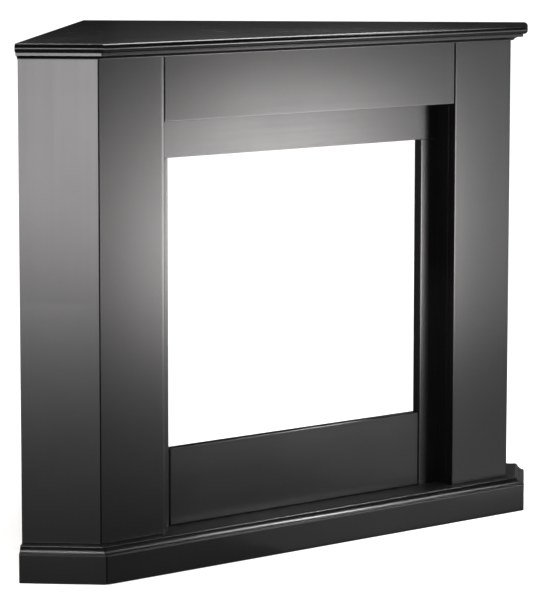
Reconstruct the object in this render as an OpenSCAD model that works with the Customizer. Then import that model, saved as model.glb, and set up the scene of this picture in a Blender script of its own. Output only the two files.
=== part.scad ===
// Corner fireplace mantel: a black painted fibreboard surround that stands in
// the square corner of a room and takes a fire insert in its opening.
// The front looks towards -Y, the room's corner is at +Y, and z = 0 is the floor.

/* [Opening] */
// Width of the opening for the fire insert
opening_w = 627; // [560:1:720]
// Height of the opening for the fire insert
opening_h = 534; // [480:1:620]
// Height of the opening's lower edge above the floor
opening_z = 210; // [170:1:260]

/* [Boards] */
// Thickness of the painted panels
panel_t = 18; // [16:0.5:20]
// Thickness of the mantel shelf
shelf_t = 16; // [14:0.5:22]
// Thickness of the base deck
deck_t = 16; // [14:0.5:20]
// Thickness of the softwood rails, cleats and battens
batten_t = 18; // [15:0.5:24]
// Width of the chamfer that eases the painted edges
edge_ease = 1.2; // [0.5:0.1:2]
// Hairline gap at a butt joint between two painted panels
joint_gap = 0.6; // [0.2:0.1:1]

/* [Front] */
// Width of each stile beside the opening
stile_w = 45.5; // [40:0.5:70]
// Width of each flat pilaster
pilaster_w = 148; // [110:1:200]
// Depth of each short side, from the front corner to the wall
return_w = 143; // [120:1:200]
// Height of the lintel that shows under the frieze
lintel_show = 70; // [50:1:110]
// Height of the frieze board under the shelf
frieze_h = 130; // [100:1:180]
// Setback of the frieze behind the pilasters
frieze_set = 2.5; // [1:0.5:4]
// Setback of the inner surround behind the pilasters
surround_set = 47; // [38:1:70]
// Distance that the lintel runs up behind the soffit
lintel_lap = 18; // [12:1:40]

/* [Shelf and crown] */
// Reach of the shelf's nose beyond the pilasters
shelf_reach = 33.5; // [29:0.5:40]
// Height of the crown moulding under the shelf
crown_h = 12.5; // [12:0.5:16]
// Reach of the crown moulding beyond the pilasters
crown_reach = 24.6; // [22:0.2:27]
// Height of the fillet along the crown's upper edge
crown_fillet = 5.5; // [4:0.5:6]
// Width of the flat ledge between the fillet and the cove
crown_ledge = 4.6; // [3:0.2:6]
// Radius of the crown's cove
crown_cove_r = 20; // [14:0.5:20]

/* [Base] */
// Height of the base up to the top of its deck
base_h = 65.5; // [60:0.5:80]
// Reach of the plinth beyond the pilasters
plinth_reach = 36; // [34:0.5:44]
// Thickness of the moulded plinth boards
plinth_t = 18.5; // [18:0.5:20]
// Radius of the rounded upper edge of the plinth's face
plinth_round_r = 3.5; // [2:0.5:4]
// Radius of the round at the top of the plinth's ogee
ogee_round_r = 5; // [3:0.5:5]
// Radius of the hollow below it
ogee_cove_r = 24.5; // [20:0.5:24.5]
// Height of the cleats under the deck
cleat_h = 30; // [20:1:40]

/* [Rear frame] */
// Side of the square post in the room's corner
post_side = 44; // [34:1:60]
// Height of the two top rails along the walls
wall_rail_h = 70; // [60:1:90]
// Height of the top rail behind the frieze
front_rail_h = 45; // [40:1:60]
// Width of the upright battens beside the walls
wall_batten_w = 44; // [30:1:60]
// Diameter of the holes for the wall screws
wall_hole_d = 5.5; // [4:0.5:8]
// Distance of the first wall screw hole from the room's corner, along each rail
wall_hole_near = 160; // [110:1:190]
// Distance of the second wall screw hole from the room's corner
wall_hole_far = 540; // [420:1:580]

/* [Fixings] */
// Diameter of the wood dowels
dowel_d = 8; // [6:1:10]
// Length of the wood dowels
dowel_l = 30; // [24:1:32]
// Room left around a screw in its hole, and past the end of a dowel in its hole
hole_play = 0.1; // [0.05:0.05:0.2]
// Leg of the steel angle brackets
bracket_leg = 32; // [28:1:38]
// Width of the angle brackets
bracket_w = 18; // [14:1:24]
// Thickness of the angle brackets
bracket_t = 2; // [1.5:0.5:3]
// Diameter of the bracket screws
small_screw_d = 3.5; // [3:0.5:4]
// Length of the bracket screws under the head
small_screw_l = 15; // [12:1:15]
// Diameter of the countersunk wood screws
long_screw_d = 4; // [3.5:0.5:5]
// Length of the countersunk wood screws
long_screw_l = 40; // [36:1:42]
// Side of the square blocks inside the pilasters
block_side = 40; // [30:1:50]
// Height of the blocks inside the pilasters
block_h = 60; // [40:1:90]
// Leg of the triangular glue blocks behind the front corners
glue_block_leg = 26; // [18:1:34]

/* [Hidden] */
$fn = 48;

paint = [0.09, 0.09, 0.095];
softwood = [0.85, 0.72, 0.5];
steel = [0.72, 0.73, 0.75];

// The room's corner is square, so each return turns back by half of that.
turn = 45;
mitre = tan(turn / 2);

bay_x = opening_w / 2 + stile_w;
half_w = bay_x + pilaster_w;
corner_y = half_w + return_w * sqrt(2);
wall_l = half_w * sqrt(2) + return_w;
// Puts the middle of the footprint on the Z axis.
face_y = (max(plinth_reach, shelf_reach) - corner_y) / 2;
far = 4 * half_w;
// How far out and in the mitred cuts reach
cut_reach = 2 * plinth_reach;

opening_top = opening_z + opening_h;
frieze_z = opening_top + lintel_show;
shelf_z = frieze_z + frieze_h;
overall_h = shelf_z + shelf_t;
lintel_top = frieze_z + panel_t + lintel_lap;
surround_back = surround_set + panel_t;
// Width of cheek left behind the brackets
cheek_margin = 12;
cheek_back = surround_back + bracket_leg + cheek_margin;
deck_reach = plinth_reach - plinth_t;
deck_z = base_h - deck_t;
frieze_back = frieze_set + panel_t;
body_h = shelf_z - base_h;

// Screw places along a bracket's leg, from the inner corner
bracket_holes = [bracket_leg * 0.34, bracket_leg * 0.76];
bracket_hole_play = 0.25;
screw_head_h = 2.2;
long_head_h = 2.6;

// ---- Outlines and runs -------------------------------------------------

// Points of an arc around c, from one angle to the other
function arc(c, r, from, to, steps = 8) =
    [for (i = [0:steps]) let (a = from + (to - from) * i / steps) c + r * [cos(a), sin(a)]];

// Middle of each of n equal shares of a length
function middles(start, length, n) = [for (i = [0:n - 1]) start + length * (i + 0.5) / n];

// Plan of the body, grown by reach at the front and at both returns
function plan(reach) = let (
    x = half_w + reach * mitre,
    wx = half_w + (return_w + reach) * cos(turn),
    wy = (return_w - reach) * sin(turn))
    [[-x, -reach], [x, -reach], [wx, wy], [0, corner_y], [-wx, wy]];

// Upper and lower outlines of the mouldings, as [reach, height]
function crown_outline() = let (
    cove_x = crown_reach - crown_ledge,
    cove_z = shelf_z - crown_fillet)
    concat(
        [[0, shelf_z], [0, shelf_z - crown_h], [cove_x - crown_cove_r * sin(turn), shelf_z - crown_h]],
        arc([cove_x, cove_z - crown_cove_r], crown_cove_r, 90 + turn, 90),
        [[crown_reach, cove_z], [crown_reach, shelf_z]]);

ogee_tilt = 60;
ogee_end = 31;
ogee_mid = [deck_reach + ogee_round_r * sin(ogee_tilt), base_h - ogee_round_r * (1 - cos(ogee_tilt))];
ogee_centre = ogee_mid + ogee_cove_r * [sin(ogee_tilt), cos(ogee_tilt)];
ledge_z = ogee_centre.y - ogee_cove_r * cos(ogee_end);

function plinth_outline() = concat(
    [[deck_reach, 0], [plinth_reach, 0]],
    arc([plinth_reach - plinth_round_r, ledge_z - plinth_round_r], plinth_round_r, 0, 90, 5),
    arc(ogee_centre, ogee_cove_r, 270 - ogee_end, 270 - ogee_tilt, 6),
    arc([deck_reach, base_h - ogee_round_r], ogee_round_r, 90 - ogee_tilt, 90, 5));

// Everything is drawn from the front plane, then set about the middle of the footprint.
module in_place() {
    translate([0, face_y, 0]) children();
}

// Local X runs along the left wall and local Y along the right one, from the room's corner.
module from_corner() {
    translate([0, corner_y, 0]) rotate([0, 0, -180 + turn]) children();
}

// Local X runs back along the right return from the front corner, and -Y is outwards.
module on_return() {
    translate([half_w, 0, 0]) rotate([0, 0, turn]) children();
}

module other_side() {
    mirror([1, 0, 0]) children();
}

// Runs a flat outline, drawn as [reach, height], along the X axis.
module long_run() {
    rotate([90, 0, -90]) linear_extrude(far, center = true) children();
}

module front_run() {
    wide = half_w + cut_reach * mitre;
    narrow = half_w - cut_reach * mitre;
    intersection() {
        long_run() children();
        linear_extrude(overall_h)
            polygon([[-wide, -cut_reach], [wide, -cut_reach], [narrow, cut_reach], [-narrow, cut_reach]]);
    }
}

module return_run(run = return_w) {
    skew = cut_reach * mitre;
    on_return() intersection() {
        long_run() children();
        linear_extrude(overall_h)
            polygon([[-skew, -cut_reach], [run, -cut_reach], [run, cut_reach], [skew, cut_reach]]);
    }
}

module outline_between(reach_from, reach_to, z_from, z_to) {
    translate([reach_from, z_from]) square([reach_to - reach_from, z_to - z_from]);
}

// A board's section, with its face along y = 0 and the chosen face edges eased.
module eased_section(width, start, end) {
    polygon(concat(
        start ? [[0, edge_ease], [edge_ease, 0]] : [[0, 0]],
        end ? [[width - edge_ease, 0], [width, edge_ease]] : [[width, 0]],
        [[width, panel_t], [0, panel_t]]));
}

module upright_board(x_from, x_to, y, z_from, z_to, left = false, right = false) {
    translate([x_from, y, z_from]) linear_extrude(z_to - z_from)
        eased_section(x_to - x_from, left, right);
}

module level_board(half_length, y, z_from, z_to, low = false, high = false) {
    translate([half_length, y, z_from]) rotate([0, -90, 0]) linear_extrude(2 * half_length)
        eased_section(z_to - z_from, low, high);
}

// ---- Fixings and the holes they need ------------------------------------

// A pan-head screw whose head rests on z = 0
module pan_screw() {
    r = small_screw_d / 2;
    rotate_extrude() polygon([
        [0, screw_head_h], [small_screw_d * 0.6, screw_head_h], [small_screw_d, screw_head_h / 2],
        [small_screw_d, 0], [r, 0], [r, small_screw_d - small_screw_l],
        [r / 4, -small_screw_l], [0, -small_screw_l]]);
}

// A countersunk screw, or with play the hole it goes in; the head is flush with z = 0.
module sunk_screw(play = 0) {
    r = long_screw_d / 2 + play;
    head_r = long_screw_d + play;
    rotate_extrude() polygon([
        [0, play], [head_r, play], [head_r, 0], [r, -long_head_h],
        [r, long_screw_d - long_screw_l], [r / 4, -long_screw_l - play], [0, -long_screw_l - play]]);
}

// A dowel fills its hole all round, and is a little short of it at both ends.
module dowel(play = 0) {
    cylinder(h = dowel_l + 2 * play, r = dowel_d / 2, center = true);
}

// Leg A lies along X on the surface y = 0, and leg B along Y on the surface x = 0.
module bracket() {
    difference() {
        translate([0, 0, -bracket_w / 2]) linear_extrude(bracket_w) difference() {
            square(bracket_leg);
            translate([bracket_t, bracket_t]) square(bracket_leg);
        }
        bracket_screw_places()
            cylinder(h = 3 * bracket_t, r = small_screw_d / 2 + bracket_hole_play, center = true);
    }
}

// Children stand on the bracket's outer faces, with +Z away from the board.
module bracket_screw_places() {
    for (d = bracket_holes) {
        translate([d, bracket_t, 0]) rotate([-90, 0, 0]) children();
        translate([bracket_t, d, 0]) rotate([0, 90, 0]) children();
    }
}

module bracket_screw_holes() {
    bracket_screw_places() translate([0, 0, -small_screw_l - hole_play])
        cylinder(h = small_screw_l + hole_play, r = small_screw_d / 2 + hole_play);
}

// Brackets that hold the surround to the left cheek
module left_side_brackets() {
    stile_z = middles(base_h, opening_top - base_h, 3);
    lintel_z = (opening_top + lintel_top) / 2;
    for (z = concat(stile_z, [lintel_z])) translate([-bay_x, surround_back, z]) children();
}

// Turns a bracket to hold a rail, on its left along X, to the board above
module under_shelf() {
    rotate([-90, 0, 90]) children();
}

module front_rail_brackets() {
    for (x = middles(-bay_x, 2 * bay_x, 3))
        translate([x, frieze_back + batten_t, shelf_z]) under_shelf() children();
}

module left_rail_brackets() {
    from_corner() for (x = middles(post_side, wall_l - post_side - panel_t, 2))
        translate([x, batten_t, shelf_z]) under_shelf() children();
}

module all_brackets() {
    left_side_brackets() children();
    other_side() left_side_brackets() children();
    front_rail_brackets() children();
    left_rail_brackets() children();
    other_side() left_rail_brackets() children();
}

module left_surround_dowels() {
    y = surround_set + panel_t / 2;
    for (x = middles(opening_w / 2, stile_w, 2)) translate([-x, y, opening_top]) children();
    for (z = middles(base_h, opening_z - base_h, 3))
        translate([-opening_w / 2, y, z]) rotate([0, 90, 0]) children();
}

module left_frieze_dowels() {
    for (z = middles(frieze_z, frieze_h, 2))
        translate([-bay_x, (frieze_set + panel_t) / 2, z]) rotate([0, 90, 0]) children();
}

module left_cheek_dowels() {
    for (z = middles(base_h, frieze_z - base_h, 4))
        translate([-bay_x - panel_t / 2, panel_t, z]) rotate([90, 0, 0]) children();
}

// Screws from below, through the cleats into the deck
module cleat_screws() {
    y = batten_t / 2 - deck_reach;
    for (x = middles(-half_w, 2 * half_w, 4))
        translate([x, y, deck_z - cleat_h]) rotate([180, 0, 0]) children();
    for (side = [0, 1]) mirror([side, 0, 0])
        on_return() translate([(return_w - batten_t) / 2, y, deck_z - cleat_h])
            rotate([180, 0, 0]) children();
}

// Screws from above, through the deck into a base rail
module left_base_rail_screws() {
    from_corner() for (x = middles(post_side, wall_l - post_side, 3))
        translate([x, batten_t / 2, base_h]) children();
}

block_x = bay_x + panel_t + block_side / 2;
block_y = panel_t + block_side / 2;

// Screws from below, through the deck into the pilaster blocks and the post
module upright_screws() {
    for (side = [-1, 1]) translate([side * block_x, block_y, deck_z]) rotate([180, 0, 0]) children();
    from_corner() translate([batten_t + post_side / 2, batten_t + post_side / 2, deck_z])
        rotate([180, 0, 0]) children();
}

// Screws through the left top rail into the post, past the ends of the right rail's screws
module left_post_screws() {
    for (z = middles(shelf_z - wall_rail_h, wall_rail_h, 2))
        from_corner() translate([batten_t + post_side * 0.75, 0, z]) rotate([90, 0, 0]) children();
}

module left_wall_holes() {
    from_corner() for (x = [wall_hole_near, wall_hole_far])
        translate([x, batten_t / 2, shelf_z - wall_rail_h / 2]) rotate([90, 0, 0])
            cylinder(h = 2 * batten_t, d = wall_hole_d, center = true);
}

// ---- Shelf and crown -----------------------------------------------------

// One side's slab, with a full round nose at its reach and open to the back
module nosed_slab() {
    nose_r = shelf_t / 2;
    long_run() union() {
        translate([shelf_reach - nose_r, shelf_z + nose_r]) circle(nose_r);
        outline_between(-far / 2, shelf_reach - nose_r, shelf_z, overall_h);
    }
}

module mantel_shelf() {
    color(paint) in_place() difference() {
        intersection() {
            nosed_slab();
            on_return() nosed_slab();
            other_side() on_return() nosed_slab();
            translate([0, 0, shelf_z - 1]) linear_extrude(shelf_t + 2) polygon(plan(2 * shelf_reach));
        }
        front_rail_brackets() bracket_screw_holes();
        left_rail_brackets() bracket_screw_holes();
        other_side() left_rail_brackets() bracket_screw_holes();
    }
}

module crown_front() {
    color(paint) in_place() front_run() polygon(crown_outline());
}

module crown_right() {
    color(paint) in_place() return_run() polygon(crown_outline());
}

module crown_left() {
    other_side() crown_right();
}

// ---- Frieze ----------------------------------------------------------------

module frieze_board() {
    color(paint) in_place() difference() {
        level_board(bay_x - joint_gap, frieze_set, frieze_z, shelf_z, low = true);
        left_frieze_dowels() dowel(hole_play);
        other_side() left_frieze_dowels() dowel(hole_play);
    }
}

module frieze_soffit() {
    color(paint) in_place() translate([-bay_x, frieze_back, frieze_z + edge_ease])
        cube([2 * bay_x, surround_set - frieze_back, panel_t]);
}

// ---- Pilasters -------------------------------------------------------------

// Set back of a mitred edge along its board's face
mitre_gap = joint_gap / 2 / cos(turn / 2);

module left_pilaster_face() {
    color(paint) in_place() difference() {
        translate([0, 0, base_h]) linear_extrude(body_h) polygon([
            [-bay_x, edge_ease], [-bay_x - edge_ease, 0],
            [mitre_gap + edge_ease - half_w, 0], [mitre_gap + edge_ease * mitre - half_w, edge_ease],
            [mitre_gap + panel_t * mitre - half_w, panel_t], [-bay_x, panel_t]]);
        left_frieze_dowels() dowel(hole_play);
        left_cheek_dowels() dowel(hole_play);
    }
}

module right_pilaster_face() {
    other_side() left_pilaster_face();
}

module left_pilaster_cheek() {
    color(paint) in_place() difference() {
        translate([-bay_x - panel_t, panel_t, base_h]) cube([panel_t, cheek_back - panel_t, body_h]);
        left_cheek_dowels() dowel(hole_play);
        left_side_brackets() bracket_screw_holes();
    }
}

module right_pilaster_cheek() {
    other_side() left_pilaster_cheek();
}

module right_return_panel() {
    color(paint) in_place() on_return() translate([0, 0, base_h]) linear_extrude(body_h) polygon([
        [mitre_gap + edge_ease, 0], [return_w, 0], [return_w, panel_t],
        [mitre_gap + panel_t * mitre, panel_t], [mitre_gap + edge_ease * mitre, edge_ease]]);
}

module left_return_panel() {
    other_side() right_return_panel();
}

// ---- Surround --------------------------------------------------------------

module lintel_panel() {
    color(paint) in_place() difference() {
        level_board(bay_x, surround_set, opening_top, lintel_top, low = true);
        left_surround_dowels() dowel(hole_play);
        other_side() left_surround_dowels() dowel(hole_play);
        left_side_brackets() bracket_screw_holes();
        other_side() left_side_brackets() bracket_screw_holes();
    }
}

module left_stile() {
    color(paint) in_place() difference() {
        upright_board(-bay_x, -opening_w / 2, surround_set, base_h, opening_top - joint_gap, right = true);
        left_surround_dowels() dowel(hole_play);
        left_side_brackets() bracket_screw_holes();
    }
}

module right_stile() {
    other_side() left_stile();
}

module lower_panel() {
    color(paint) in_place() difference() {
        level_board(opening_w / 2 - joint_gap, surround_set, base_h, opening_z, high = true);
        left_surround_dowels() dowel(hole_play);
        other_side() left_surround_dowels() dowel(hole_play);
    }
}

// ---- Base ------------------------------------------------------------------

module base_deck() {
    color(paint) in_place() difference() {
        translate([0, 0, deck_z]) linear_extrude(deck_t) polygon(plan(deck_reach));
        cleat_screws() sunk_screw(hole_play);
        left_base_rail_screws() sunk_screw(hole_play);
        other_side() left_base_rail_screws() sunk_screw(hole_play);
        upright_screws() sunk_screw(hole_play);
    }
}

module plinth_front() {
    color(paint) in_place() front_run() polygon(plinth_outline());
}

module plinth_right() {
    color(paint) in_place() return_run() polygon(plinth_outline());
}

module plinth_left() {
    other_side() plinth_right();
}

// A rail on the left wall, mitred where it meets its twin in the room's corner
module wall_rail(length, z_from, z_to) {
    from_corner() translate([0, 0, z_from]) linear_extrude(z_to - z_from)
        polygon([[0, 0], [length, 0], [length, batten_t], [batten_t, batten_t]]);
}

module cleat_outline() {
    outline_between(deck_reach - batten_t, deck_reach, deck_z - cleat_h, deck_z);
}

module front_deck_cleat() {
    color(softwood) in_place() difference() {
        front_run() cleat_outline();
        cleat_screws() sunk_screw(hole_play);
    }
}

module right_deck_cleat() {
    color(softwood) in_place() difference() {
        return_run(return_w - batten_t) cleat_outline();
        cleat_screws() sunk_screw(hole_play);
    }
}

module left_deck_cleat() {
    other_side() right_deck_cleat();
}

module left_base_rail() {
    color(softwood) in_place() difference() {
        wall_rail(wall_l + deck_reach, 0, deck_z);
        left_base_rail_screws() sunk_screw(hole_play);
    }
}

module right_base_rail() {
    other_side() left_base_rail();
}

// ---- Rear frame --------------------------------------------------------------

module rear_post() {
    color(softwood) in_place() difference() {
        from_corner() translate([batten_t, batten_t, base_h]) cube([post_side, post_side, body_h]);
        left_post_screws() sunk_screw(hole_play);
        other_side() left_post_screws() sunk_screw(hole_play);
        upright_screws() sunk_screw(hole_play);
    }
}

module front_top_rail() {
    color(softwood) in_place() difference() {
        translate([-bay_x, frieze_back, shelf_z - front_rail_h])
            cube([2 * bay_x, batten_t, front_rail_h]);
        front_rail_brackets() bracket_screw_holes();
    }
}

module left_top_rail() {
    color(softwood) in_place() difference() {
        wall_rail(wall_l - panel_t, shelf_z - wall_rail_h, shelf_z);
        left_rail_brackets() bracket_screw_holes();
        left_post_screws() sunk_screw(hole_play);
        left_wall_holes();
    }
}

module right_top_rail() {
    other_side() left_top_rail();
}

module left_wall_batten() {
    color(softwood) in_place() from_corner()
        translate([wall_l - panel_t - wall_batten_w, 0, base_h])
            cube([wall_batten_w, batten_t, body_h - wall_rail_h]);
}

module right_wall_batten() {
    other_side() left_wall_batten();
}

// ---- Blocks ------------------------------------------------------------------

module left_glue_blocks() {
    corner_x = panel_t * mitre - half_w;
    color(softwood) in_place() for (z = middles(base_h, body_h, 3))
        translate([corner_x, panel_t, z - block_h / 2]) linear_extrude(block_h)
            polygon([[0, 0], [glue_block_leg, 0], [-glue_block_leg, glue_block_leg] / sqrt(2)]);
}

module right_glue_blocks() {
    other_side() left_glue_blocks();
}

module pilaster_blocks() {
    color(softwood) in_place() difference() {
        for (side = [-1, 1], z = [base_h, shelf_z - block_h])
            translate([side * block_x - block_side / 2, panel_t, z]) cube([block_side, block_side, block_h]);
        upright_screws() sunk_screw(hole_play);
    }
}

// ---- Hardware ----------------------------------------------------------------

module wood_dowels() {
    color(softwood) in_place() {
        left_surround_dowels() dowel();
        left_frieze_dowels() dowel();
        left_cheek_dowels() dowel();
        other_side() {
            left_surround_dowels() dowel();
            left_frieze_dowels() dowel();
            left_cheek_dowels() dowel();
        }
    }
}

module angle_brackets() {
    color(steel) in_place() all_brackets() bracket();
}

module bracket_screws() {
    color(steel) in_place() all_brackets() bracket_screw_places() pan_screw();
}

module wood_screws() {
    color(steel) in_place() {
        cleat_screws() sunk_screw();
        left_base_rail_screws() sunk_screw();
        other_side() left_base_rail_screws() sunk_screw();
        upright_screws() sunk_screw();
        left_post_screws() sunk_screw();
        other_side() left_post_screws() sunk_screw();
    }
}

mantel_shelf();
crown_front();
crown_left();
crown_right();
frieze_board();
frieze_soffit();
left_pilaster_face();
right_pilaster_face();
left_pilaster_cheek();
right_pilaster_cheek();
left_return_panel();
right_return_panel();
lintel_panel();
left_stile();
right_stile();
lower_panel();
base_deck();
plinth_front();
plinth_left();
plinth_right();
front_deck_cleat();
left_deck_cleat();
right_deck_cleat();
left_base_rail();
right_base_rail();
rear_post();
front_top_rail();
left_top_rail();
right_top_rail();
left_wall_batten();
right_wall_batten();
left_glue_blocks();
right_glue_blocks();
pilaster_blocks();
wood_dowels();
angle_brackets();
bracket_screws();
wood_screws();
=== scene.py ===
from math import cos, pi, radians, sin

import bmesh
import bpy
from mathutils import Matrix, Vector


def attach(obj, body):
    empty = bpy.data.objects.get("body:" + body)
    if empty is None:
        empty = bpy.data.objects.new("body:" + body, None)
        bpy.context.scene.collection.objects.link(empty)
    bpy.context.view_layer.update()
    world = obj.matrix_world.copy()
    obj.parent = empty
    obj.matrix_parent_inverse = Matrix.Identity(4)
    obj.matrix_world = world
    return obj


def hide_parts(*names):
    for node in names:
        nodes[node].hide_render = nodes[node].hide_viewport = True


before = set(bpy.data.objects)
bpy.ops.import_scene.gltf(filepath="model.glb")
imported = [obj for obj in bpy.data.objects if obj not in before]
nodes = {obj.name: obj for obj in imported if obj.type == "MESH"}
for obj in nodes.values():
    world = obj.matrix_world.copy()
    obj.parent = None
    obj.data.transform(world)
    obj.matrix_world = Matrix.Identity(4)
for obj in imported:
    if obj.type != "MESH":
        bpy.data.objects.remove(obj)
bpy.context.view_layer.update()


# ---- Base deck -------------------------------------------------------------
# The deck is a five-sided fibreboard panel that everything else stands on. Its
# top and edges are sprayed satin black, and the underside is left as sawn board.

down = (0, 0, -1)
sharp_turn = radians(50)


def worked_copy(node):
    """A bmesh of the CAD piece with its triangles joined into clean faces."""
    same_point, same_plane = 2e-6, radians(0.6)
    board = bmesh.new()
    board.from_mesh(nodes[node].data)
    bmesh.ops.remove_doubles(board, verts=board.verts, dist=same_point)
    bmesh.ops.dissolve_limit(
        board, verts=board.verts, edges=board.edges, angle_limit=same_plane,
        use_dissolve_boundaries=False)
    return board


def looks(normal, ways, closeness=0.95):
    """Whether the normal points along one of the ways. Closeness is the least cosine for that."""
    return any(normal.dot(Vector(way).normalized()) > closeness for way in ways)


def ease_arrises(board, radius, least=20, segments=3, soft=(), soft_radius=0.0014):
    """Rounds the long edges that turn more than the least degrees, as sanding and paint do.

    Arrises that look one of the soft ways get the soft radius, in twice the segments. Every
    round is marked for the finish. The short edges of curved ends aren't rounded.
    """
    shortest, curve_step = 0.012, radians(5)
    arris = board.faces.layers.float.new("arris")
    plain, softened = [], []
    for edge in board.edges:
        if len(edge.link_faces) != 2:
            continue
        turn = edge.calc_face_angle()
        if edge.calc_length() < shortest:
            edge.smooth = turn < curve_step
        elif turn > radians(least):
            middle = (edge.link_faces[0].normal + edge.link_faces[1].normal).normalized()
            chosen = softened if looks(middle, soft) else plain
            chosen.append(edge)
    for edges, size, steps in ((softened, soft_radius, 2 * segments), (plain, radius, segments)):
        rounded = bmesh.ops.bevel(
            board, geom=[edge for edge in edges if edge.is_valid], offset=size,
            offset_type="OFFSET", affect="EDGES", segments=steps, profile=0.5, material=-1,
            clamp_overlap=True)
        for face in rounded["faces"]:
            face[arris] = 1.0
    for edge in board.edges:
        if edge.calc_face_angle(0) > sharp_turn:
            edge.smooth = False


def finish_piece(board, node, slot, *materials, bare=()):
    """Puts the worked piece in its node's place, on the body.

    Faces that look a bare way get the last material, and the others keep theirs.
    """
    for face in board.faces:
        face.smooth = True
        if looks(face.normal, bare):
            face.material_index = len(materials) - 1
    mesh = bpy.data.meshes.new("shown_" + node)
    board.to_mesh(mesh)
    board.free()
    for material in materials:
        mesh.materials.append(material)
    piece = bpy.data.objects.new("shown_" + node, mesh)
    bpy.context.scene.collection.objects.link(piece)
    evened = piece.modifiers.new("even shading", "WEIGHTED_NORMAL")
    evened.weight = 90
    evened.keep_sharp = True
    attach(piece, "root")
    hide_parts(node)


def new_material(name):
    """A new material, its node tree and the Principled shader in it."""
    material = bpy.data.materials.new(name)
    material.use_nodes = True
    tree = material.node_tree
    return material, tree, tree.nodes["Principled BSDF"]


def feed(tree, node, inputs):
    """Sets a node's inputs to plain values, or links them to another node's outputs."""
    for name, value in inputs.items():
        if isinstance(value, bpy.types.NodeSocket):
            tree.links.new(value, node.inputs[name])
        else:
            node.inputs[name].default_value = value


def add(tree, kind, inputs=None, **settings):
    """Adds a node with its settings and inputs."""
    node = tree.nodes.new(kind)
    for name, value in settings.items():
        setattr(node, name, value)
    feed(tree, node, inputs or {})
    return node


def combine(tree, operation, *terms):
    """The outcome of an operation on masks and plain numbers."""
    return add(tree, "ShaderNodeMath", dict(enumerate(terms)), operation=operation).outputs[0]


def average(tree, first, second):
    """The mean of two masks."""
    return combine(tree, "MULTIPLY_ADD", first, 0.5, combine(tree, "MULTIPLY", second, 0.5))


def noise(tree, place, scale, detail, roughness=0.5):
    """Noise with about scale lumps to the metre."""
    inputs = {"Vector": place, "Scale": scale, "Detail": detail, "Roughness": roughness}
    return add(tree, "ShaderNodeTexNoise", inputs).outputs["Fac"]


def stretch(tree, place, amounts):
    """The place, multiplied along each axis."""
    inputs = {0: place, 1: amounts}
    return add(tree, "ShaderNodeVectorMath", inputs, operation="MULTIPLY").outputs[0]


def tone(tree, mask, start, end, stops=(0, 1)):
    """A colour that runs from start to end while the mask runs between the stops."""
    ramp = add(tree, "ShaderNodeValToRGB", {"Fac": mask})
    for element, colour, stop in zip(ramp.color_ramp.elements, (start, end), stops):
        element.position, element.color = stop, (*colour, 1)
    return ramp.outputs["Color"]


def span(tree, mask, low, high):
    """A value that runs from low to high with the mask."""
    inputs = {"Value": mask, "To Min": low, "To Max": high}
    return add(tree, "ShaderNodeMapRange", inputs).outputs["Result"]


def relief(tree, height, strength, depth):
    """The normal of a surface that the height raises by up to depth in metres."""
    inputs = {"Height": height, "Strength": strength, "Distance": depth}
    return add(tree, "ShaderNodeBump", inputs).outputs["Normal"]


def new_group(name, takes, gives):
    """A node group with named inputs and outputs, and the sockets that bring the inputs."""
    group = bpy.data.node_groups.new(name, "ShaderNodeTree")
    for socket, kind in takes.items():
        group.interface.new_socket(socket, in_out="INPUT", socket_type=kind)
    for socket in gives:
        group.interface.new_socket(socket, in_out="OUTPUT", socket_type="NodeSocketFloat")
    return group, add(group, "NodeGroupInput").outputs


def spray_group():
    """A sprayed coat: slow clouds, rubbing streaks, orange peel and thin places on the arrises."""
    group, given = new_group(
        "Sprayed coat", {"Peel": "NodeSocketFloat", "Grain": "NodeSocketVector"},
        ("Cloud", "Streak", "Arris", "Height"))
    place = add(group, "ShaderNodeTexCoord").outputs["Object"]
    cloud = noise(group, place, 7, 4, 0.55)
    streak = noise(group, stretch(group, place, given["Grain"]), 1, 3, 0.6)
    marked = add(group, "ShaderNodeAttribute", attribute_name="arris").outputs["Fac"]
    thin = combine(group, "MULTIPLY", marked, noise(group, place, 90, 3))
    waves, specks = noise(group, place, 38, 2), noise(group, place, 520, 2)
    lumps = combine(group, "MULTIPLY_ADD", waves, 3, specks)
    height = combine(group, "MULTIPLY", lumps, given["Peel"])
    add(group, "NodeGroupOutput",
        {"Cloud": cloud, "Streak": streak, "Arris": thin, "Height": height})
    return group


sprayed_coat = spray_group()
deep_black = (0.0017, 0.00172, 0.0018)
soft_black = (0.0024, 0.0024, 0.00244)
thin_black = (0.012, 0.012, 0.0124)


def lacquer(name, gloss, spread, grain, peel=1.0):
    """Satin black lacquer over sanded board.

    gloss is its mean roughness and spread how much that varies. grain is how fine the rubbing
    marks are along each axis, and peel is how much orange peel it shows.
    """
    material, tree, shader = new_material(name)
    inputs = {"Peel": peel, "Grain": grain}
    coat = add(tree, "ShaderNodeGroup", inputs, node_tree=sprayed_coat).outputs
    body = tone(tree, coat["Cloud"], deep_black, soft_black, stops=(0.3, 0.75))
    inputs = {"Factor": coat["Arris"], "A": body, "B": (*thin_black, 1)}
    edged = add(tree, "ShaderNodeMix", inputs, data_type="RGBA").outputs["Result"]
    sheen = average(tree, coat["Streak"], coat["Cloud"])
    feed(tree, shader, {
        "Base Color": edged,
        "Roughness": span(tree, sheen, gloss - 2 * spread, gloss + 2 * spread),
        "Normal": relief(tree, coat["Height"], strength=0.25, depth=0.00004),
        "Specular IOR Level": 0.3})
    return material


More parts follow.
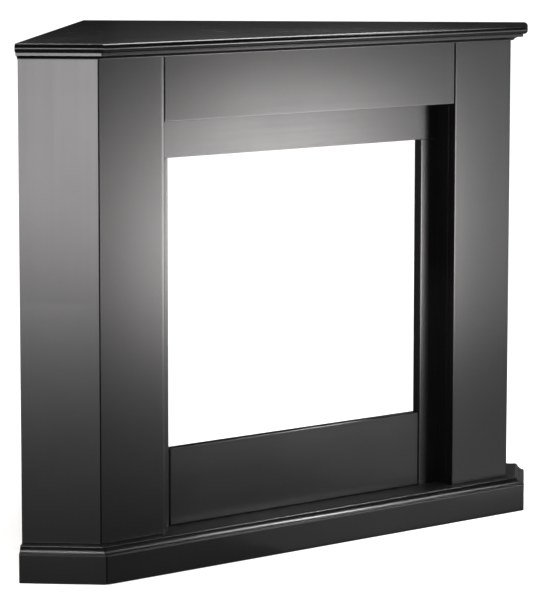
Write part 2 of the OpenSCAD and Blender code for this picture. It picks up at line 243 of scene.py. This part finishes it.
def fibreboard(name, light, dark):
    """Bare fibreboard as sawn: a soft mottle with short dark and light flecks."""
    material, tree, shader = new_material(name)
    place = add(tree, "ShaderNodeTexCoord").outputs["Object"]
    fleck, mottle = noise(tree, place, 900, 3, 0.7), noise(tree, place, 24, 5, 0.6)
    feed(tree, shader, {
        "Base Color": tone(tree, average(tree, fleck, mottle), dark, light, stops=(0.32, 0.7)),
        "Roughness": span(tree, fleck, 0.72, 0.95),
        "Normal": relief(tree, fleck, strength=0.4, depth=0.0001)})
    return material


lengthwise = (1.6, 110, 110)
deck_lacquer = lacquer("Black lacquer, deck", gloss=0.42, spread=0.03, grain=lengthwise)
bare_board = fibreboard("Bare fibreboard", light=(0.42, 0.28, 0.16), dark=(0.25, 0.155, 0.08))

deck = worked_copy("base_deck")
ease_arrises(deck, 0.0006)
finish_piece(deck, "base_deck", "black_lacquer", deck_lacquer, bare_board, bare=[down])


# ---- Plinth boards ---------------------------------------------------------
# Moulded fibreboard skirtings with an ogee along the top, mitred at the two front
# corners. They are glued to the deck's edge and sprayed black.

front_way, left_way, right_way = (0, -1, 0), (-1, -1, 0), (1, -1, 0)
mitre_angle = radians(22.5)
left_mitre = (-cos(mitre_angle), sin(mitre_angle), 0)
right_mitre = (cos(mitre_angle), sin(mitre_angle), 0)


def backwards(way):
    """The opposite way."""
    return tuple(-part for part in way)


def open_ends(board, front, mitres, width):
    """Takes the corners off round the mitred ends, so that a joint shows as a fine dark line.

    What the cut pushes past the moulding's front, foot or top is brought back to them.
    """
    mitre_closeness = 0.99
    front = Vector(front).normalized()
    outer = max(point.co.dot(front) for point in board.verts)
    foot = min(point.co.z for point in board.verts)
    top = max(point.co.z for point in board.verts)
    rims = [edge for edge in board.edges if edge.calc_face_angle(0) > sharp_turn
            and any(looks(face.normal, mitres, mitre_closeness) for face in edge.link_faces)]
    bmesh.ops.bevel(
        board, geom=rims, offset=width, offset_type="OFFSET", affect="EDGES", segments=2,
        profile=0.5, material=-1, clamp_overlap=False)
    for point in board.verts:
        point.co -= front * max(point.co.dot(front) - outer, 0)
        point.co.z = min(max(point.co.z, foot), top)


def dull_round(board, way, bottom=0.0505, top=0.0545):
    """Gives the small round under the ledge the second material, as it is rubbed dull.

    Its faces lie between the bottom and the top, and look both up and outwards.
    """
    least_share, level_share = 0.1, 0.98
    way = Vector(way).normalized()
    for face in board.faces:
        upwards, outwards = face.normal.z, face.normal.dot(way)
        curved = least_share < upwards < level_share and outwards > least_share
        if curved and bottom < face.calc_center_median().z < top:
            face.material_index = 1


base_lacquer = lacquer("Black lacquer, base", gloss=0.24, spread=0.02, grain=lengthwise, peel=0.3)
mouldings = {"front": (front_way, [left_mitre, right_mitre]),
             "left": (left_way, [backwards(left_mitre)]),
             "right": (right_way, [backwards(right_mitre)])}

for side, (way, mitres) in mouldings.items():
    plinth = worked_copy("plinth_" + side)
    open_ends(plinth, way, mitres, width=0.0021)
    ease_arrises(plinth, 0.0004, least=24, segments=2)
    dull_round(plinth, way)
    finish_piece(plinth, "plinth_" + side, "black_lacquer", base_lacquer, deck_lacquer, bare_board,
                 bare=[backwards(way), down])


# ---- Deck cleats and base rails --------------------------------------------
# Planed pine strips, glued and screwed under the deck: short cleats behind the
# plinth, and two long rails that stand against the walls and meet in the corner.

early_wood, late_wood = (0.66, 0.47, 0.26), (0.45, 0.26, 0.11)


def pine_group():
    """Growth rings round a far centre, with fine fibres along local X."""
    group, given = new_group("Pine grain", {"Vector": "NodeSocketVector"}, ("Ring", "Fibre"))
    rings = add(group, "ShaderNodeTexWave", {
        "Vector": stretch(group, given["Vector"], (0.12, 1, 1)), "Scale": 42, "Distortion": 2.2,
        "Detail": 2, "Detail Scale": 0.35, "Detail Roughness": 0.5},
        wave_type="RINGS", rings_direction="X", wave_profile="SAW").outputs["Fac"]
    fibres = noise(group, stretch(group, given["Vector"], (9, 900, 900)), 1, 3, 0.6)
    add(group, "NodeGroupOutput", {"Ring": rings, "Fibre": fibres})
    return group


pine_grain = pine_group()


def pine(name, turned, pith):
    """Planed pine. turned brings the strip's length onto local X, and pith is its centre's place."""
    material, tree, shader = new_material(name)
    inputs = {"Vector": add(tree, "ShaderNodeTexCoord").outputs["Object"],
              "Rotation": turned, "Location": pith}
    lined = add(tree, "ShaderNodeMapping", inputs, vector_type="TEXTURE").outputs["Vector"]
    grain = add(tree, "ShaderNodeGroup", {"Vector": lined}, node_tree=pine_grain).outputs
    ringed = tone(tree, grain["Ring"], early_wood, late_wood, stops=(0.15, 0.95))
    inputs = {"Factor": 0.35, "A": ringed, "B": grain["Fibre"]}
    streaked = add(tree, "ShaderNodeMix", inputs, data_type="RGBA", blend_type="MULTIPLY")
    feed(tree, shader, {
        "Base Color": streaked.outputs["Result"],
        "Roughness": span(tree, grain["Fibre"], 0.5, 0.72),
        "Normal": relief(tree, grain["Fibre"], strength=0.35, depth=0.00015)})
    return material


def finish_strips(strips):
    """Eases the planed strips and finishes each in its own cut of pine."""
    for node, cut in strips.items():
        strip = worked_copy(node)
        ease_arrises(strip, 0.0008, least=40, segments=2)
        finish_piece(strip, node, "softwood", cut)


pine_across = pine("Pine, across the front", (0, 0, 0), (0.1, 0.05, 0.12))
pine_left = pine("Pine, along the left wall", (0, 0, radians(45)), (-0.2, 0.35, -0.06))
pine_right = pine("Pine, along the right wall", (0, 0, radians(-45)), (0.2, 0.35, -0.06))
pine_upright = pine("Pine, upright", (0, radians(90), 0), (0.03, 0.4, 0.3))

finish_strips({
    "front_deck_cleat": pine_across,
    "left_deck_cleat": pine_right,
    "right_deck_cleat": pine_left,
    "left_base_rail": pine_left,
    "right_base_rail": pine_right})


# ---- Pilasters and short sides ---------------------------------------------
# Flat fibreboard pilasters stand at both ends of the front, each with a cheek on
# its inner edge and a short side mitred to its outer edge. Blocks behind hold
# them, and only what shows is sprayed black.

back_way, left_end, right_end = (0, 1, 0), (-1, 0, 0), (1, 0, 0)


def halfway(first, second):
    """The way that the arris between two faces looks."""
    return Vector(first).normalized() + Vector(second).normalized()


def roll_edge(board, side, reach, drop):
    """Lets the front fall away by the drop over the last reach to one side, as sanding does."""
    cuts, cut_skin, front_skin = (1, 0.67, 0.33), 1e-6, 1e-5
    side, front = Vector(side), Vector(front_way)
    end = max(point.co.dot(side) for point in board.verts)
    outer = max(point.co.dot(front) for point in board.verts)
    for part in cuts:
        everything = board.verts[:] + board.edges[:] + board.faces[:]
        bmesh.ops.bisect_plane(
            board, geom=everything, dist=cut_skin, plane_co=side * (end - reach * part),
            plane_no=side)
    for point in board.verts:
        along = (point.co.dot(side) - end + reach) / reach
        if along > 0 and point.co.dot(front) > outer - front_skin:
            point.co -= front * drop * along ** 2


upright_lacquer = lacquer("Black lacquer, uprights", gloss=0.24, spread=0.016,
                          grain=(160, 160, 1.6))

for side, way, hollow, reach, drop in (
        ("left", left_way, left_end, 0.007, 0.0006),
        ("right", right_way, right_end, 0.004, 0.0003)):
    opening = backwards(hollow)
    face = worked_copy(side + "_pilaster_face")
    roll_edge(face, opening, reach, drop)
    ease_arrises(face, 0.0006, soft=[halfway(front_way, opening), halfway(front_way, down)])
    finish_piece(face, side + "_pilaster_face", "black_lacquer", upright_lacquer, bare_board,
                 bare=[back_way])
    cheek = worked_copy(side + "_pilaster_cheek")
    ease_arrises(cheek, 0.0003)
    finish_piece(cheek, side + "_pilaster_cheek", "black_lacquer", upright_lacquer, bare_board,
                 bare=[back_way, hollow])
    short_side = worked_copy(side + "_return_panel")
    ease_arrises(short_side, 0.0006, soft=[halfway(way, down)])
    finish_piece(short_side, side + "_return_panel", "black_lacquer", upright_lacquer, bare_board,
                 bare=[backwards(way)])


# ---- Rear frame ------------------------------------------------------------
# A planed pine post in the room's corner, upright battens at the walls, and rails
# under the shelf. Glue blocks and square blocks stiffen the pilasters inside.

finish_strips({
    "rear_post": pine_upright,
    "left_wall_batten": pine_upright,
    "right_wall_batten": pine_upright,
    "front_top_rail": pine_across,
    "left_top_rail": pine_left,
    "right_top_rail": pine_right,
    "left_glue_blocks": pine_upright,
    "right_glue_blocks": pine_upright,
    "pilaster_blocks": pine_upright})


# ---- Inner surround --------------------------------------------------------
# Four fibreboards round the opening, set back between the cheeks and sprayed in
# front: a stile on each side, the lower panel between them and the lintel over
# them. Dowels and angle brackets hold them.

up = (0, 0, 1)


def square_foot(board, reach=0.002):
    """Squares the lower edge, chamfered until now, so that a joint below it stays fine."""
    foot = min(point.co.z for point in board.verts)
    for point in board.verts:
        if point.co.z < foot + reach:
            point.co.z = foot


across_lacquer = lacquer("Black lacquer, across", gloss=0.24, spread=0.03,
                         grain=(1.6, 160, 160))

for node, finish, rolls, soft in (
        ("left_stile", upright_lacquer, [(right_end, 0.004, 0.0003)], []),
        ("right_stile", upright_lacquer, [(left_end, 0.004, 0.0003)], []),
        ("lower_panel", across_lacquer,
         [(left_end, 0.004, 0.0012), (right_end, 0.004, 0.0012), (down, 0.003, 0.0008)],
         [halfway(front_way, up)]),
        ("lintel_panel", across_lacquer, [], [])):
    board = worked_copy(node)
    if node == "lintel_panel":
        square_foot(board)
    for side, reach, drop in rolls:
        roll_edge(board, side, reach, drop)
    ease_arrises(board, 0.0005, soft=soft, soft_radius=0.0018)
    finish_piece(board, node, "black_lacquer", finish, bare_board, bare=[back_way])


# ---- Frieze and soffit -----------------------------------------------------
# The frieze board closes the front under the shelf, and a narrow soffit strip
# fills the step between its lower edge and the lintel. Both are fibreboard.

frieze = worked_copy("frieze_board")
square_foot(frieze)
roll_edge(frieze, left_end, reach=0.0035, drop=0.0011)
roll_edge(frieze, down, reach=0.0025, drop=0.0001)
ease_arrises(frieze, 0.0005)
finish_piece(frieze, "frieze_board", "black_lacquer", across_lacquer, bare_board, bare=[back_way])

soffit = worked_copy("frieze_soffit")
ease_arrises(soffit, 0.0004)
finish_piece(soffit, "frieze_soffit", "black_lacquer", across_lacquer, bare_board, bare=[up])


# ---- Crown moulding --------------------------------------------------------
# A small fibreboard cove in three lengths, mitred at the front corners. It is
# glued up under the shelf and sprayed black.

for side, (way, mitres) in mouldings.items():
    crown = worked_copy("crown_" + side)
    open_ends(crown, way, mitres, width=0.0014)
    ease_arrises(crown, 0.0003, least=24, segments=2)
    finish_piece(crown, "crown_" + side, "black_lacquer", base_lacquer, bare_board,
                 bare=[backwards(way)])


# ---- Mantel shelf ----------------------------------------------------------
# One fibreboard slab with a full round nose on its three free sides, sprayed black
# all over. It is screwed from below through angle brackets, so its top is unbroken.

shelf_lacquer = lacquer("Black lacquer, shelf", gloss=0.24, spread=0.06, grain=(1.2, 90, 90),
                        peel=0.05)

shelf = worked_copy("mantel_shelf")
ease_arrises(shelf, 0.0004, least=35)
finish_piece(shelf, "mantel_shelf", "black_lacquer", shelf_lacquer)


# ---- Fixings ---------------------------------------------------------------
# Beech dowels locate the boards. Zinc plated angle brackets, each with four
# pan-head screws, and countersunk wood screws hold the frame together.

def zinc(name, light, dark):
    """Bright zinc plating, a little cloudy."""
    material, tree, shader = new_material(name)
    coat = add(tree, "ShaderNodeGroup", {"Peel": 0.5}, node_tree=sprayed_coat).outputs
    feed(tree, shader, {
        "Base Color": tone(tree, coat["Cloud"], dark, light),
        "Metallic": 1.0,
        "Roughness": span(tree, coat["Cloud"], 0.28, 0.5),
        "Normal": relief(tree, coat["Height"], strength=0.2, depth=0.00005)})
    return material


zinc_plate = zinc("Zinc plate", light=(0.72, 0.73, 0.75), dark=(0.5, 0.51, 0.52))
beech = pine("Beech", (0, 0, 0), (0.3, 0.2, 0.4))

for node, material, slot in (
        ("wood_dowels", beech, "softwood"), ("angle_brackets", zinc_plate, "zinc_steel"),
        ("bracket_screws", zinc_plate, "zinc_steel"), ("wood_screws", zinc_plate, "zinc_steel")):
    mesh = nodes[node].data
    mesh.materials.clear()
    mesh.materials.append(material)


# ---- Studio ----------------------------------------------------------------
# A pale floor, softboxes far to the left and right for the front boards, narrow
# strips for the bright lines along nose, ledges and hollows, and the camera at the
# photograph's place: front left and a little above the shelf.

floor_reach, floor_drop = 30, 0.0005


def grey(level):
    """A neutral colour."""
    return (level, level, level, 1)


floor_sheet = bmesh.new()
bmesh.ops.create_grid(floor_sheet, x_segments=1, y_segments=1, size=floor_reach)
bmesh.ops.translate(floor_sheet, verts=floor_sheet.verts, vec=(0, 0, -floor_drop))
floor_mesh = bpy.data.meshes.new("floor")
floor_sheet.to_mesh(floor_mesh)
floor_sheet.free()
floor = bpy.data.objects.new("floor", floor_mesh)
bpy.context.scene.collection.objects.link(floor)
floor_finish, floor_tree, floor_shader = new_material("Pale floor")
# The floor is pale to the camera and to bounced light, but glossy rays see it near black: painted
# shade on the floor as the lacquered boards reflect it.
floor_ray = add(floor_tree, "ShaderNodeLightPath").outputs
floor_tone_dark_in_reflections = add(floor_tree, "ShaderNodeMix", {
    "Factor": floor_ray["Is Glossy Ray"], "A": grey(0.91), "B": grey(0.08)}, data_type="RGBA")
feed(floor_tree, floor_shader, {
    "Base Color": floor_tone_dark_in_reflections.outputs["Result"], "Roughness": 0.9, "Specular IOR Level": 0.1})
floor_mesh.materials.append(floor_finish)


def softbox(name, place, aim, width, height, glow, tint=(1, 1, 1), spun=0):
    """A flat light that faces the aimed point, spun in degrees about that line."""
    lamp = bpy.data.lights.new(name, "AREA")
    lamp.color = tint
    lamp.shape, lamp.size, lamp.size_y = "RECTANGLE", width, height
    lamp.energy = pi * width * height * glow
    box = bpy.data.objects.new(name, lamp)
    box.location = place
    faced = (Vector(aim) - Vector(place)).to_track_quat("-Z", "Y").to_matrix()
    box.rotation_euler = (faced @ Matrix.Rotation(radians(spun), 3, "Z")).to_euler()
    box.visible_camera = False
    bpy.context.scene.collection.objects.link(box)


def strip_light(name, place, way, width, depth, glow, spun=0):
    """A flat light that looks straight down or up."""
    softbox(name, place, Vector(place) + Vector(way), width, depth, glow, spun=spun)


warm, rosy, cool = (1, 0.98, 0.967), (1, 0.975, 0.985), (0.96, 0.97, 1)
along_left_side = -45

softbox("left softbox", (-3.7, -2.74, 0.49), (-0.55, -0.28, 0.6), 0.88, 0.94, 24, rosy)
softbox("right softbox", (1.61, -2.32, 0.27), (0, -0.3, 0.6), 0.64, 0.4, 32, warm)
softbox("upper right softbox", (1.69, -2.32, 0.57), (0, -0.3, 0.6), 0.43, 0.21, 29, warm)
strip_light("strip over the shelf", (0.28, -0.12, 1.45), down, 0.86, 0.22, 15)
softbox("rear softbox", (0.85, 0.77, 1.69), (-0.1, -0.37, 0.96), 0.5, 0.25, 1.5, cool)
strip_light("strip over the left side", (-0.28, 0.2, 1.45), down, 0.3, 0.3, 6, along_left_side)
softbox("right fill", (2.6, -2.4, 0.42), (0.5, -0.33, 0.8), 0.7, 1, 2.6)
strip_light("near strip over the front", (0.656, -0.43, 1.45), down, 0.28, 0.14, 12)
strip_light("strip right of the shelf", (0.8, -0.43, 1), down, 0.16, 0.1, 66)
strip_light("long strip right of the shelf", (1.05, -0.43, 0.998), down, 0.64, 0.1, 16)
strip_light("far strip over the front", (0.82, -0.43, 1.45), down, 0.2, 0.14, 5)
strip_light("left strip", (-0.677, -0.266, 0.93), down, 0.3, 0.04, 8, along_left_side)
strip_light("low left strip", (-0.665, -0.254, 0.5), down, 0.3, 0.03, 30, along_left_side)
strip_light("low strip over the front", (0.19, -0.43, 0.5), down, 0.26, 0.06, 20)
softbox("low rear card", (1.35, 1.35, 1.38), (0.1, -0.35, 0.96), 0.8, 0.28, 0.07)
softbox("side softbox", (2.7, 0.3, 0.5), (0, 0, 0.5), 0.6, 0.9, 0.8)
softbox("rear right softbox", (2.3, 1.35, 0.4), (0.55, -0.25, 0.2), 0.9, 0.7, 0.2)
softbox("rear left card", (-1.1, 1.4, 0.5), (0.31, -0.28, 0.45), 1, 1, 0.22)
strip_light("bright floor", (1, -0.85, 0.004), up, 1, 0.7, 0.65)
strip_light("bright floor at the plinth", (0.5, -0.5, 0.002), up, 1.2, 0.24, 0.45)

top_light = bpy.data.lights.new("top light", "SUN")
top_light.energy, top_light.angle = 4.6, radians(70)
top_lamp = bpy.data.objects.new("top light", top_light)
top_lamp.rotation_euler = (radians(12), radians(-8), 0)
top_lamp.visible_glossy = False
bpy.context.scene.collection.objects.link(top_lamp)

sky = bpy.data.worlds.new("studio")
bpy.context.scene.world = sky
sky.use_nodes = True
sky_tree = sky.node_tree
dim = sky_tree.nodes["Background"]
feed(sky_tree, dim, {"Color": grey(0.018)})
pale = add(sky_tree, "ShaderNodeBackground", {"Color": grey(1)})
sky_ray = add(sky_tree, "ShaderNodeLightPath").outputs
both = add(sky_tree, "ShaderNodeMixShader", {
    "Fac": sky_ray["Is Camera Ray"], 1: dim.outputs["Background"], 2: pale.outputs["Background"]})
feed(sky_tree, sky_tree.nodes["World Output"], {"Surface": both.outputs["Shader"]})

bpy.context.scene.view_settings.view_transform = "Standard"

camera_place = (-3.95395, -4.83335, 1.26230)
heading, dip, roll = -40.519, 7.608, 0.054
lens = bpy.data.cameras.new("camera")
lens.lens = 193.58
lens.sensor_width = 36
camera = bpy.data.objects.new("camera", lens)
camera.matrix_world = (
    Matrix.Translation(camera_place) @ Matrix.Rotation(radians(heading), 4, "Z")
    @ Matrix.Rotation(radians(90 - dip), 4, "X") @ Matrix.Rotation(radians(roll), 4, "Z"))
bpy.context.scene.collection.objects.link(camera)
bpy.context.scene.camera = camera
